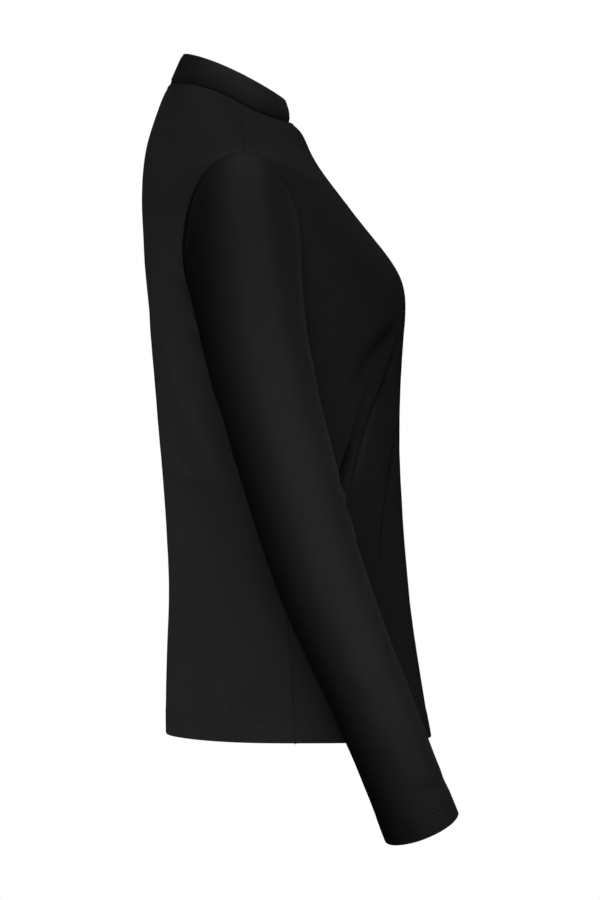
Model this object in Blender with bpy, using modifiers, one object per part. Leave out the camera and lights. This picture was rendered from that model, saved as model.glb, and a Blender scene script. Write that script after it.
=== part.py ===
"""A fitted long-sleeve top with a low stand collar, hollow, filled out as if worn, with no wearer.

+Z is up, the front faces -Y and the wearer's left is +X. The origin lies midway between the
inner ends of the two shoulder seams, where the wearer's shoulders carry the top.

The body is a form lofted through a table of rings. The front and the back are cut from it along
the side seams, armholes, shoulder seams and neck. Each sleeve runs from its armhole to its cuff
through a table of stations, and the collar stands on the neck seam.
"""

import math
from bisect import bisect_right
from collections import namedtuple

import bmesh
import bpy
import numpy
from mathutils import Vector

COLLECTION_NAME = "mock_neck_top"

# Driving dimensions, in metres.
CLOTH = 0.002            # wall of the body and the sleeves
COLLAR_CLOTH = 0.0028    # wall of the collar, two layers
SEAM_GAP = 0.0003        # between two pieces at their seam
SEAM_STRIP = 0.0025      # first narrow strip of a sleeve beside its armhole
SEAM_STRIP_TURN = 0.8    # the same strip on a panel, in degrees round the body
SAME_POINT = 0.00001     # points nearer than this are joined where a tube closes

HEM_LEVEL = -0.582
UNDERARM_LEVEL = -0.222
SHOULDER_LEVEL = -0.052
NECK_LEVEL = 0.001
COLLAR_TOP_LEVEL = 0.0285

ARMHOLE_FRONT_DEPTH = 0.0500   # how far the armhole reaches forward of the side seam
ARMHOLE_BACK_DEPTH = 0.0545    # and how far back

# Grid lines of each piece.
SIDE_ROWS = 23           # hem to underarm
ARMHOLE_ROWS = 12        # underarm to shoulder point, on each panel
SHOULDER_ROWS = 5        # shoulder point to neck
HALF_COLUMNS_FRONT = 17  # centre to side
HALF_COLUMNS_BACK = 11
COLUMN_GATHER = 0.06     # draws a panel's columns together half way to the side
CAP_ROWS = 8             # armhole to biceps
ARM_ROWS = 14            # biceps to cuff
COLLAR_COLUMNS = 48
COLLAR_ROWS = 4

# A ring goes once round the body. Its level is its height at the two sides, and lean is how
# steeply it rises backwards there. A power of 2 makes a quarter of the ring an ellipse, and more
# makes it squarer.
Ring = namedtuple(
    "Ring",
    "name level half_width side_y front_z front_y back_z back_y front_power back_power lean",
)
BODY_RINGS = (
    Ring("hem", HEM_LEVEL, 0.172, -0.050, -0.5840, -0.1756, -0.5805, 0.0695, 2.35, 2.30, 0.00),
    Ring("hip", -0.520, 0.168, -0.047, -0.5205, -0.1650, -0.5190, 0.0697, 2.35, 2.30, 0.00),
    Ring("high hip", -0.450, 0.159, -0.042, -0.4500, -0.1550, -0.4500, 0.0678, 2.30, 2.30, 0.00),
    Ring("waist", -0.370, 0.151, -0.036, -0.3700, -0.1496, -0.3700, 0.0715, 2.30, 2.30, 0.00),
    Ring("midriff", -0.300, 0.152, -0.026, -0.3000, -0.1468, -0.3000, 0.0769, 2.30, 2.30, 0.00),
    Ring("under bust", -0.255, 0.158, -0.015, -0.2550, -0.1480, -0.2550, 0.0806, 2.25, 2.30, 0.00),
    Ring("underarm", UNDERARM_LEVEL, 0.163, -0.009, -0.2220, -0.1500, -0.2220, 0.0837, 2.20, 2.30, 0.00),
    Ring("bust", -0.178, 0.171, -0.006, -0.1880, -0.1517, -0.1880, 0.0862, 2.15, 2.25, 0.00),
    Ring("chest", -0.135, 0.181, -0.005, -0.1600, -0.1478, -0.1580, 0.0892, 2.00, 2.15, 0.00),
    Ring("mid armhole", -0.103, 0.1945, -0.005, -0.1370, -0.1345, -0.1330, 0.0909, 1.80, 2.03, 0.00),
    Ring("upper chest", -0.075, 0.2010, -0.004, -0.1140, -0.1160, -0.1050, 0.0923, 1.70, 1.88, 0.00),
    Ring("shoulder point", SHOULDER_LEVEL, 0.190, -0.004, -0.0920, -0.0985, -0.0780, 0.0927, 1.75, 1.74, 0.02),
    Ring("outer shoulder", -0.035, 0.149, -0.003, -0.0660, -0.0788, -0.0450, 0.0900, 1.85, 1.74, 0.15),
    Ring("inner shoulder", -0.018, 0.105, -0.001, -0.0400, -0.0632, -0.0120, 0.0810, 1.95, 1.86, 0.36),
    Ring("neck base", -0.007, 0.079, 0.000, -0.0225, -0.0545, 0.0100, 0.0730, 2.00, 1.95, 0.48),
    Ring("neck seam", NECK_LEVEL, 0.062, 0.001, -0.0144, -0.0452, 0.0209, 0.0667, 2.00, 2.00, 0.58),
)
COLLAR_RINGS = (
    Ring("neck seam", NECK_LEVEL, 0.0620, 0.001, -0.0144, -0.0452, 0.0209, 0.0667, 2.00, 2.00, 0.58),
    Ring("collar middle", 0.0160, 0.0590, 0.001, -0.0040, -0.0434, 0.0350, 0.0606, 2.00, 2.00, 0.54),
    Ring("collar top", COLLAR_TOP_LEVEL, 0.0565, 0.001, 0.0068, -0.0408, 0.0497, 0.0540, 2.00, 2.00, 0.50),
)

# Stations down the left sleeve. half_depth is front to back, half_breadth is side to side.
Station = namedtuple("Station", "name drop x y half_depth half_breadth")
SLEEVE_STATIONS = (
    Station("biceps", 0.250, 0.2120, -0.0204, 0.0465, 0.0425),
    Station("above elbow", 0.292, 0.2180, -0.0311, 0.0442, 0.0410),
    Station("elbow", 0.367, 0.2265, -0.0526, 0.0420, 0.0390),
    Station("below elbow", 0.432, 0.2285, -0.0724, 0.0402, 0.0372),
    Station("forearm", 0.509, 0.2235, -0.1036, 0.0372, 0.0345),
    Station("wrist", 0.576, 0.2120, -0.1314, 0.0345, 0.0318),
    Station("cuff", 0.656, 0.1890, -0.1632, 0.0350, 0.0315),
)

# Folds in the cloth of the body. Each is a soft trough from one turn and level to another, and
# bow bends its middle sideways. Turns are negative on the wearer's right.
Fold = namedtuple("Fold", "name turn_from level_from turn_to level_to bow width depth")
BODY_FOLDS = (
    Fold("right bust to side", -19, -0.192, -52, -0.258, 0.004, 0.011, 0.0045),
    Fold("right ribs to waist", -36, -0.252, -70, -0.372, -0.005, 0.012, 0.0060),
    Fold("right bust to waist", -12, -0.205, -60, -0.372, 0.009, 0.009, 0.0035),
    Fold("right front hip", -17, -0.300, -42, -0.425, 0.012, 0.010, 0.0030),
    Fold("left bust to side", 21, -0.196, 50, -0.250, 0.003, 0.011, 0.0045),
    Fold("left ribs to waist", 33, -0.246, 68, -0.360, -0.004, 0.012, 0.0055),
    Fold("left bust to waist", 14, -0.208, 55, -0.348, 0.008, 0.009, 0.0035),
    Fold("left front hip", 20, -0.312, 46, -0.446, 0.010, 0.010, 0.0030),
    Fold("right blade to side", -158, -0.165, -104, -0.400, 0.016, 0.020, 0.0040),
    Fold("left blade to side", 155, -0.172, 106, -0.385, -0.014, 0.020, 0.0040),
)
METRES_PER_DEGREE = 0.0026   # mean length of a degree round the body
FOLD_FADE = 0.7              # under 1, a trough keeps its depth further towards its ends
FOLD_SHALLOW = 0.0001        # less depth than this is left out

# The sleeve cap, from the armhole to the biceps.
SHOULDER_SLOPE = 26.0        # how steeply it leaves the shoulder point, in degrees
UNDERARM_LEAVE = (0.15, -0.10, -1.0)   # its direction where it leaves the underarm
LEAVE_POWER = 0.7            # how soon it turns from one to the other up the armhole
START_PULL = 0.65            # how strongly it follows its start and its end direction
END_PULL = 1.0


def mix(low, high, share):
    return low + (high - low) * share


def hermite(start, end, start_slope, end_slope, share):
    """A cubic from start to end, for numbers and for vectors."""
    square = share * share
    cube = square * share
    return (
        start * (2 * cube - 3 * square + 1)
        + start_slope * (cube - 2 * square + share)
        + end * (3 * square - 2 * cube)
        + end_slope * (cube - square)
    )


def smooth_curve(places, values):
    """The natural cubic spline through the values."""
    count = len(places)
    spans = [places[i + 1] - places[i] for i in range(count - 1)]
    steps = [(values[i + 1] - values[i]) / spans[i] for i in range(count - 1)]
    system = numpy.eye(count)
    turns = numpy.zeros(count)
    for i in range(1, count - 1):
        system[i, i - 1:i + 2] = spans[i - 1], 2 * (spans[i - 1] + spans[i]), spans[i]
        turns[i] = 6 * (steps[i] - steps[i - 1])
    bends = numpy.linalg.solve(system, turns).tolist()

    def read(place):
        i = min(max(bisect_right(places, place) - 1, 0), count - 2)
        past = place - places[i]
        ahead = places[i + 1] - place
        return (
            (bends[i] * ahead ** 3 + bends[i + 1] * past ** 3) / (6 * spans[i])
            + (values[i] / spans[i] - bends[i] * spans[i] / 6) * ahead
            + (values[i + 1] / spans[i] - bends[i + 1] * spans[i] / 6) * past
        )

    return read


class Form:
    """A hollow form lofted through a table of rings."""

    def __init__(self, rings):
        levels = [ring.level for ring in rings]
        self.columns = [
            smooth_curve(levels, [getattr(ring, field) for ring in rings])
            for field in Ring._fields[2:]
        ]

    def ring(self, level):
        return Ring("", level, *(read(level) for read in self.columns))


def height_at(ring, along, centre_y, centre_z):
    """The height of a ring at a share of the way from the side to the centre front or back."""
    leaning = ring.lean * (centre_y - ring.side_y)
    return ring.level + leaning * along + (centre_z - ring.level - leaning) * along * along


def ring_point(ring, turn, in_front=True):
    """The point of a ring at a turn in degrees: 0 centre front, 90 left side, 180 centre back."""
    in_front = in_front and abs(turn) <= 90
    power = ring.front_power if in_front else ring.back_power
    centre_y = ring.front_y if in_front else ring.back_y
    centre_z = ring.front_z if in_front else ring.back_z
    seam_y = ring.side_y + SEAM_GAP / 2 * (-1 if in_front else 1)
    across = abs(math.sin(math.radians(turn))) ** (2 / power)
    along = abs(math.cos(math.radians(turn))) ** (2 / power)
    return Vector((
        math.copysign(ring.half_width * across, turn),
        mix(seam_y, centre_y, along),
        height_at(ring, along, centre_y, centre_z),
    ))


BODY = Form(BODY_RINGS)
COLLAR = Form(COLLAR_RINGS)


LEVEL_REACH = 0.06    # a point of the body lies this near the level of its ring
LEVEL_HALVINGS = 40


def on_body(y, z, in_front):
    """The ring level and the turn of the point of the left half that has this y and z."""
    low = z - LEVEL_REACH
    high = z + LEVEL_REACH
    for _ in range(LEVEL_HALVINGS):
        level = (low + high) / 2
        ring = BODY.ring(level)
        centre_y = ring.front_y if in_front else ring.back_y
        centre_z = ring.front_z if in_front else ring.back_z
        along = min(max((y - ring.side_y) / (centre_y - ring.side_y), 0.0), 1.0)
        if height_at(ring, along, centre_y, centre_z) < z:
            low = level
        else:
            high = level
    power = ring.front_power if in_front else ring.back_power
    from_centre = math.degrees(math.acos(along ** (power / 2)))
    return level, from_centre if in_front else 180 - from_centre


def body_normal(level, turn):
    """The outward direction of the body's form."""
    near_turn = 0.5
    near_level = 0.001
    side = abs(turn)
    side = min(side, 90 - near_turn) if side <= 90 else max(side, 90 + 2 * near_turn)
    side = math.copysign(side, turn)
    ring = BODY.ring(level)
    sideways = ring_point(ring, side + near_turn) - ring_point(ring, side - near_turn)
    upwards = (
        ring_point(BODY.ring(level + near_level), side)
        - ring_point(BODY.ring(level - near_level), side)
    )
    return sideways.cross(upwards).normalized()


def fold_depth(level, turn):
    """How far the folds draw the cloth in at a level and turn."""
    depth = 0.0
    for fold in BODY_FOLDS:
        run = (fold.turn_to - fold.turn_from) * METRES_PER_DEGREE
        fall = fold.level_to - fold.level_from
        sideways = (turn - fold.turn_from) * METRES_PER_DEGREE
        down = level - fold.level_from
        length = math.hypot(run, fall)
        share = (sideways * run + down * fall) / length ** 2
        if 0 < share < 1:
            arch = math.sin(math.pi * share)
            off = (sideways * fall - down * run) / length - fold.bow * arch
            depth += fold.depth * arch ** FOLD_FADE * math.exp(-((off / fold.width) ** 2))
    return depth


def cloth_point(level, turn, ring, in_front):
    """A point of the body's cloth, folds and all."""
    depth = fold_depth(level, turn)
    point = ring_point(ring, turn, in_front)
    return point - body_normal(level, turn) * depth if depth > FOLD_SHALLOW else point


def armhole_edge(in_front):
    """(level, turn) along half of the left armhole, from the underarm to the shoulder point."""
    depth = -ARMHOLE_FRONT_DEPTH if in_front else ARMHOLE_BACK_DEPTH
    edge = [(UNDERARM_LEVEL, 90.0)]
    for step in range(1, ARMHOLE_ROWS):
        climb = math.pi * step / ARMHOLE_ROWS
        z = mix(UNDERARM_LEVEL, SHOULDER_LEVEL, (1 - math.cos(climb)) / 2)
        edge.append(on_body(BODY.ring(z).side_y + depth * math.sin(climb), z, in_front))
    edge.append((SHOULDER_LEVEL, 90.0))
    return edge


ARMHOLE_FRONT = armhole_edge(True)
ARMHOLE_BACK = armhole_edge(False)


def panel_rows(armhole):
    """(level, turn of the side edge) for each row of a panel, from the hem to the neck."""
    rows = [
        (mix(HEM_LEVEL, UNDERARM_LEVEL, row / SIDE_ROWS), 90.0) for row in range(SIDE_ROWS)
    ]
    rows += armhole
    rows += [
        (mix(SHOULDER_LEVEL, NECK_LEVEL, row / SHOULDER_ROWS), 90.0)
        for row in range(1, SHOULDER_ROWS + 1)
    ]
    return rows


def grid_mesh(column_count, row_count, place):
    """A bmesh grid whose points are moved to place(column, row)."""
    mesh = bmesh.new()
    bmesh.ops.create_grid(mesh, x_segments=column_count, y_segments=row_count, size=0.5)
    for vert in mesh.verts:
        column = round((vert.co.x + 0.5) * column_count)
        row = round((vert.co.y + 0.5) * row_count)
        vert.co = place(column, row)
    return mesh


def cloth_object(name, mesh, thickness, material, collection):
    """A smooth object of a bmesh surface, given a wall on its inner side."""
    data = bpy.data.meshes.new(name)
    mesh.to_mesh(data)
    mesh.free()
    data.shade_smooth()
    data.materials.append(material)
    piece = bpy.data.objects.new(name, data)
    collection.objects.link(piece)
    wall = piece.modifiers.new("cloth", "SOLIDIFY")
    wall.thickness = thickness
    wall.offset = -1.0
    return piece


def panel_mesh(armhole, in_front, half_columns):
    """The front or back, from one side edge to the other."""
    rows = panel_rows(armhole)
    rings = [BODY.ring(level) for level, _ in rows]

    def place(column, row):
        level, side_turn = rows[row]
        edge = side_turn if in_front else 180 - side_turn
        step = abs(column - half_columns)
        turn = edge
        if step < half_columns:
            share = step / (half_columns - 1)
            share += COLUMN_GATHER * math.sin(2 * math.pi * share)
            turn = (edge - SEAM_STRIP_TURN) * share
        if not in_front:
            turn = turn - 180
        leftwards = column > half_columns
        return cloth_point(level, turn if leftwards else -turn, rings[row], in_front)

    return grid_mesh(2 * half_columns, len(rows) - 1, place)


def sleeve_reader():
    """Curves of the sleeve's stations, read at a drop below the origin."""
    drops = [station.drop for station in SLEEVE_STATIONS]
    return {
        field: smooth_curve(drops, [getattr(station, field) for station in SLEEVE_STATIONS])
        for field in Station._fields[2:]
    }


SLEEVE = sleeve_reader()


def sleeve_centre(drop):
    return Vector((SLEEVE["x"](drop), SLEEVE["y"](drop), -drop))


def sleeve_axis(drop):
    """The direction of the left sleeve, towards the cuff."""
    near = 0.004
    return (sleeve_centre(drop + near) - sleeve_centre(drop - near)).normalized()


def sleeve_ring_point(drop, around):
    """A point of the sleeve: around 0 is inside, 90 in front, 180 outside and 270 behind."""
    axis = sleeve_axis(drop)
    outward = (Vector((1, 0, 0)) - axis * axis.x).normalized()
    forward = outward.cross(axis).normalized()
    if forward.y > 0:
        forward = -forward
    angle = math.radians(around)
    return (
        sleeve_centre(drop)
        - outward * SLEEVE["half_breadth"](drop) * math.cos(angle)
        + forward * SLEEVE["half_depth"](drop) * math.sin(angle)
    )


def armhole_ring():
    """(point, outward direction) round the left armhole, from the underarm forwards."""
    corners = ARMHOLE_FRONT + ARMHOLE_BACK[-2::-1]
    return [
        (ring_point(BODY.ring(level), turn), body_normal(level, turn)) for level, turn in corners
    ]


def sleeve_mesh(side):
    """A whole sleeve, left for side 1 and right for -1."""
    armhole = armhole_ring()
    columns = len(armhole) - 1
    first_drop = SLEEVE_STATIONS[0].drop
    last_drop = SLEEVE_STATIONS[-1].drop
    axis = sleeve_axis(first_drop)
    slope = math.radians(SHOULDER_SLOPE)
    over_shoulder = Vector((math.cos(slope), 0, -math.sin(slope)))
    under_arm = Vector(UNDERARM_LEAVE).normalized()

    def place(column, row):
        around = 360 * column / columns
        if row > CAP_ROWS:
            drop = mix(first_drop, last_drop, (row - CAP_ROWS) / ARM_ROWS)
            point = sleeve_ring_point(drop, around)
        else:
            edge, outward = armhole[column]
            height = (1 - math.cos(math.radians(around))) / 2
            leave = under_arm.lerp(over_shoulder, height ** LEAVE_POWER).normalized()
            start = edge + leave * SEAM_GAP * 1.5 + outward * SEAM_GAP
            end = sleeve_ring_point(first_drop, around)
            span = (end - start).length
            share = max(row - 1, 0) / (CAP_ROWS - 1)
            if row == 1:
                share = min(SEAM_STRIP / (START_PULL * span), 0.3 / CAP_ROWS)
            point = hermite(start, end, leave * span * START_PULL, axis * span * END_PULL, share)
        return Vector((point.x * side, point.y, point.z))

    mesh = grid_mesh(columns, CAP_ROWS + ARM_ROWS, place)
    bmesh.ops.remove_doubles(mesh, verts=mesh.verts, dist=SAME_POINT)
    if side > 0:
        bmesh.ops.reverse_faces(mesh, faces=mesh.faces)
    return mesh


def collar_mesh():
    def place(column, row):
        level = mix(NECK_LEVEL, COLLAR_TOP_LEVEL, row / COLLAR_ROWS)
        turn = 360 * column / COLLAR_COLUMNS - 180
        point = ring_point(COLLAR.ring(level), turn)
        return point + Vector((0, 0, SEAM_GAP))

    mesh = grid_mesh(COLLAR_COLUMNS, COLLAR_ROWS, place)
    bmesh.ops.remove_doubles(mesh, verts=mesh.verts, dist=SAME_POINT)
    return mesh


def jersey(name, colour):
    """Smooth black jersey."""
    material = bpy.data.materials.new(name)
    material.use_nodes = True
    shader = material.node_tree.nodes["Principled BSDF"]
    shader.inputs["Base Color"].default_value = (*colour, 1)
    shader.inputs["Roughness"].default_value = 0.62
    shader.inputs["Metallic"].default_value = 0.0
    material.diffuse_color = (*colour, 1)
    return material


def build():
    for old in list(bpy.data.objects):
        bpy.data.objects.remove(old, do_unlink=True)
    collection = bpy.data.collections.new(COLLECTION_NAME)
    bpy.context.scene.collection.children.link(collection)
    black = (0.012, 0.012, 0.013)

    front = panel_mesh(ARMHOLE_FRONT, True, HALF_COLUMNS_FRONT)
    cloth_object("front", front, CLOTH, jersey("front_jersey", black), collection)
    back = panel_mesh(ARMHOLE_BACK, False, HALF_COLUMNS_BACK)
    cloth_object("back", back, CLOTH, jersey("back_jersey", black), collection)
    for name, side in (("sleeve_left", 1), ("sleeve_right", -1)):
        sleeve = sleeve_mesh(side)
        cloth_object(name, sleeve, CLOTH, jersey(name + "_jersey", black), collection)
    cloth_object("collar", collar_mesh(), COLLAR_CLOTH, jersey("collar_jersey", black), collection)


build()
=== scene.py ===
"""The looks of a fitted black long-sleeve top with a low stand collar, filled out as if worn.

Each cut piece is one sheet of jersey on the form of its solid. The sheet rolls inwards at every
seam and goes on as a seam allowance, and it folds up inside at the hem, the cuffs and the collar's
top edge. Creases, stitches and the knit follow in metres, in the frame of the solids.
"""

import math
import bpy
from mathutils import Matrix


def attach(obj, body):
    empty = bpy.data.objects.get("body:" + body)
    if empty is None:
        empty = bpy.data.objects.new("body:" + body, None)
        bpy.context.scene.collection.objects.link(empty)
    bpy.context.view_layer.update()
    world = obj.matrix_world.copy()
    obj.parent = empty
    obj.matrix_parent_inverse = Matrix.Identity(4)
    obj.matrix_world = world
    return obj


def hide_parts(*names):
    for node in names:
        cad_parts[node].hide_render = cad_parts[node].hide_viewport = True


bl_info = {
    "name": "Mock neck top",
    "version": (1, 0, 0),
    "blender": (4, 5, 0),
    "location": "3D View > Sidebar > Mock Neck Top",
    "description": "Sews a fitted long-sleeve top with a stand collar and lights it for a picture",
    "category": "Object",
}

from bisect import bisect_right
from collections import namedtuple
from functools import lru_cache
from itertools import islice

import bmesh
import bpy
import numpy
from bpy.props import FloatProperty, FloatVectorProperty, PointerProperty
from mathutils import Matrix, Vector, kdtree, noise

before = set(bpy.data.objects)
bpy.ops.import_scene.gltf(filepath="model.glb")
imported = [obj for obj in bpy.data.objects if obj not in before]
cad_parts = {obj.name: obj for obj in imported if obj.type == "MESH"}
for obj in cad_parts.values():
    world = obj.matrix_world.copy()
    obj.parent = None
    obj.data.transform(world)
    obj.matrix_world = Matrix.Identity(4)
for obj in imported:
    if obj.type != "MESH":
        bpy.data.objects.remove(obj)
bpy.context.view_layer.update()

# ---------------------------------------------------------------------------------------------
# The form, in metres, as the solids have it.

SEAM_GAP = 0.0003
HEM_LEVEL = -0.582
UNDERARM_LEVEL = -0.222
SHOULDER_LEVEL = -0.052
NECK_LEVEL = 0.001
COLLAR_TOP_LEVEL = 0.0285
ARMHOLE_FRONT_DEPTH = 0.0500
ARMHOLE_BACK_DEPTH = 0.0545

# A ring goes once round the body. Its level is its height at the two sides, and lean is how
# steeply it rises backwards there. A power of 2 makes a quarter of the ring an ellipse.
Ring = namedtuple(
    "Ring",
    "name level half_width side_y front_z front_y back_z back_y front_power back_power lean",
)
BODY_RINGS = (
    Ring("hem", HEM_LEVEL, 0.172, -0.050, -0.5840, -0.1756, -0.5805, 0.0695, 2.35, 2.30, 0.00),
    Ring("hip", -0.520, 0.168, -0.047, -0.5205, -0.1650, -0.5190, 0.0697, 2.35, 2.30, 0.00),
    Ring("high hip", -0.450, 0.159, -0.042, -0.4500, -0.1550, -0.4500, 0.0678, 2.30, 2.30, 0.00),
    Ring("waist", -0.370, 0.151, -0.036, -0.3700, -0.1496, -0.3700, 0.0715, 2.30, 2.30, 0.00),
    Ring("midriff", -0.300, 0.152, -0.026, -0.3000, -0.1468, -0.3000, 0.0769, 2.30, 2.30, 0.00),
    Ring("under bust", -0.255, 0.158, -0.015, -0.2550, -0.1480, -0.2550, 0.0806, 2.25, 2.30, 0.00),
    Ring("underarm", UNDERARM_LEVEL, 0.163, -0.009, -0.2220, -0.1500, -0.2220, 0.0837, 2.20, 2.30, 0.00),
    Ring("bust", -0.178, 0.171, -0.006, -0.1880, -0.1517, -0.1880, 0.0862, 2.15, 2.25, 0.00),
    Ring("chest", -0.135, 0.181, -0.005, -0.1600, -0.1478, -0.1580, 0.0892, 2.00, 2.15, 0.00),
    Ring("mid armhole", -0.103, 0.1945, -0.005, -0.1370, -0.1345, -0.1330, 0.0909, 1.80, 2.03, 0.00),
    Ring("upper chest", -0.075, 0.2010, -0.004, -0.1140, -0.1160, -0.1050, 0.0923, 1.70, 1.88, 0.00),
    Ring(
        "shoulder point", SHOULDER_LEVEL, 0.190, -0.004,
        -0.0920, -0.0985, -0.0780, 0.0927, 1.75, 1.74, 0.02,
    ),
    Ring("outer shoulder", -0.035, 0.149, -0.003, -0.0660, -0.0788, -0.0450, 0.0900, 1.85, 1.74, 0.15),
    Ring("inner shoulder", -0.018, 0.105, -0.001, -0.0400, -0.0632, -0.0120, 0.0810, 1.95, 1.86, 0.36),
    Ring("neck base", -0.007, 0.079, 0.000, -0.0225, -0.0545, 0.0100, 0.0730, 2.00, 1.95, 0.48),
    Ring("neck seam", NECK_LEVEL, 0.062, 0.001, -0.0144, -0.0452, 0.0209, 0.0667, 2.00, 2.00, 0.58),
)
COLLAR_RINGS = (
    Ring("neck seam", NECK_LEVEL, 0.0620, 0.001, -0.0144, -0.0452, 0.0209, 0.0667, 2.00, 2.00, 0.58),
    Ring("collar middle", 0.0160, 0.0590, 0.001, -0.0040, -0.0434, 0.0350, 0.0606, 2.00, 2.00, 0.54),
    Ring("collar top", COLLAR_TOP_LEVEL, 0.0565, 0.001, 0.0068, -0.0408, 0.0497, 0.0540, 2.00, 2.00, 0.50),
)

# Stations down the left sleeve. half_depth is front to back, half_breadth is side to side.
Station = namedtuple("Station", "name drop x y half_depth half_breadth")
SLEEVE_STATIONS = (
    Station("biceps", 0.250, 0.2120, -0.0204, 0.0465, 0.0425),
    Station("above elbow", 0.292, 0.2180, -0.0311, 0.0442, 0.0410),
    Station("elbow", 0.367, 0.2265, -0.0526, 0.0420, 0.0390),
    Station("below elbow", 0.432, 0.2285, -0.0724, 0.0402, 0.0372),
    Station("forearm", 0.509, 0.2235, -0.1036, 0.0372, 0.0345),
    Station("wrist", 0.576, 0.2120, -0.1314, 0.0345, 0.0318),
    Station("cuff", 0.656, 0.1890, -0.1632, 0.0350, 0.0315),
)
BICEPS_DROP = SLEEVE_STATIONS[0].drop
CUFF_DROP = SLEEVE_STATIONS[-1].drop
SHOULDER_SLOPE = 26.0
UNDERARM_LEAVE = (0.15, -0.10, -1.0)
LEAVE_POWER = 0.7
START_PULL = 0.65
END_PULL = 1.0

# ---------------------------------------------------------------------------------------------
# Creases. Each is a soft trough from one place to another. bow bends its middle sideways, and
# ridge is the height of the roll of cloth on its upper side, as a share of its depth.

METRES_PER_DEGREE = 0.0026        # mean length of a degree round the body
SLEEVE_METRES_PER_DEGREE = 0.0007  # and round a sleeve
Crease = namedtuple("Crease", "name turn_from level_from turn_to level_to bow width depth ridge")
BODY_CREASES = (
    Crease("right bust to side", -19, -0.192, -52, -0.258, 0.004, 0.0110, 0.0045, 0.0),
    Crease("right ribs to waist", -36, -0.252, -70, -0.372, -0.005, 0.0120, 0.0060, 0.0),
    Crease("right bust to waist", -12, -0.205, -60, -0.372, 0.009, 0.0090, 0.0035, 0.0),
    Crease("right front hip", -17, -0.300, -42, -0.425, 0.012, 0.0100, 0.0030, 0.0),
    Crease("left bust to side", 21, -0.196, 50, -0.250, 0.003, 0.0110, 0.0045, 0.0),
    Crease("left ribs to waist", 33, -0.246, 68, -0.360, -0.004, 0.0120, 0.0055, 0.0),
    Crease("left bust to waist", 14, -0.208, 55, -0.348, 0.008, 0.0090, 0.0035, 0.0),
    Crease("left front hip", 20, -0.312, 46, -0.446, 0.010, 0.0100, 0.0030, 0.0),
    Crease("right blade to side", -158, -0.165, -104, -0.400, 0.016, 0.0200, 0.0040, 0.0),
    Crease("left blade to side", 155, -0.172, 106, -0.385, -0.014, 0.0200, 0.0040, 0.0),
    # finer ones, which only the sheet has
    Crease("right side trough", -40, -0.260, -66, -0.356, -0.001, 0.0056, 0.0046, 0.4),
    Crease("right side trough, lower", -51, -0.306, -68, -0.374, -0.001, 0.0058, 0.0056, 0.3),
    Crease("right long line", -13, -0.203, -61, -0.372, 0.004, 0.0020, 0.0026, 0.7),
    Crease("right bust mark", -16, -0.188, -52, -0.258, 0.002, 0.0050, 0.0036, 0.4),
    Crease("right hip line", -17, -0.300, -43, -0.428, 0.006, 0.0026, 0.0030, 1.0),
    Crease("left side trough", 37, -0.252, 66, -0.350, -0.002, 0.0056, 0.0042, 0.4),
    Crease("left long line", 15, -0.212, 58, -0.354, 0.005, 0.0026, 0.0022, 0.7),
    Crease("left hip line", 21, -0.316, 46, -0.444, 0.005, 0.0028, 0.0022, 0.8),
    Crease("right armpit, front upper", -52, -0.150, -82, -0.232, 0.004, 0.0050, 0.0014, 0.5),
    Crease("right armpit, front lower", -62, -0.185, -86, -0.250, 0.003, 0.0045, 0.0012, 0.5),
    Crease("left armpit, front upper", 54, -0.146, 83, -0.230, -0.004, 0.0055, 0.0014, 0.5),
    Crease("left armpit, front lower", 64, -0.192, 86, -0.256, -0.003, 0.0045, 0.0011, 0.5),
    Crease("right armpit, back upper", -136, -0.140, -100, -0.228, -0.006, 0.0070, 0.0018, 0.4),
    Crease("right armpit, back lower", -126, -0.200, -97, -0.262, -0.004, 0.0060, 0.0014, 0.4),
    Crease("left armpit, back upper", 134, -0.146, 99, -0.232, 0.006, 0.0070, 0.0018, 0.4),
    Crease("left armpit, back lower", 123, -0.208, 97, -0.270, 0.004, 0.0060, 0.0013, 0.4),
    Crease("small of the back, upper", -168, -0.322, -120, -0.345, 0.007, 0.0080, 0.0013, 0.3),
    Crease("small of the back, middle", 172, -0.352, 128, -0.376, -0.006, 0.0085, 0.0014, 0.3),
    Crease("small of the back, lower", -176, -0.388, -132, -0.402, 0.006, 0.0080, 0.0010, 0.3),
    Crease("right back hip", -150, -0.400, -112, -0.520, 0.012, 0.0120, 0.0010, 0.0),
    Crease("left back hip", 148, -0.392, 110, -0.508, -0.011, 0.0120, 0.0010, 0.0),
    Crease("right hem dent, behind", -148, -0.520, -152, -0.582, 0.002, 0.0120, 0.0026, 0.0),
    Crease("right hem dent, side", -128, -0.512, -124, -0.575, -0.003, 0.0120, 0.0030, 0.0),
    Crease("left hem dent, behind", 146, -0.520, 153, -0.582, -0.002, 0.0120, 0.0022, 0.0),
    Crease("left hem dent, side", 127, -0.510, 122, -0.570, 0.003, 0.0120, 0.0024, 0.0),
)
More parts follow.
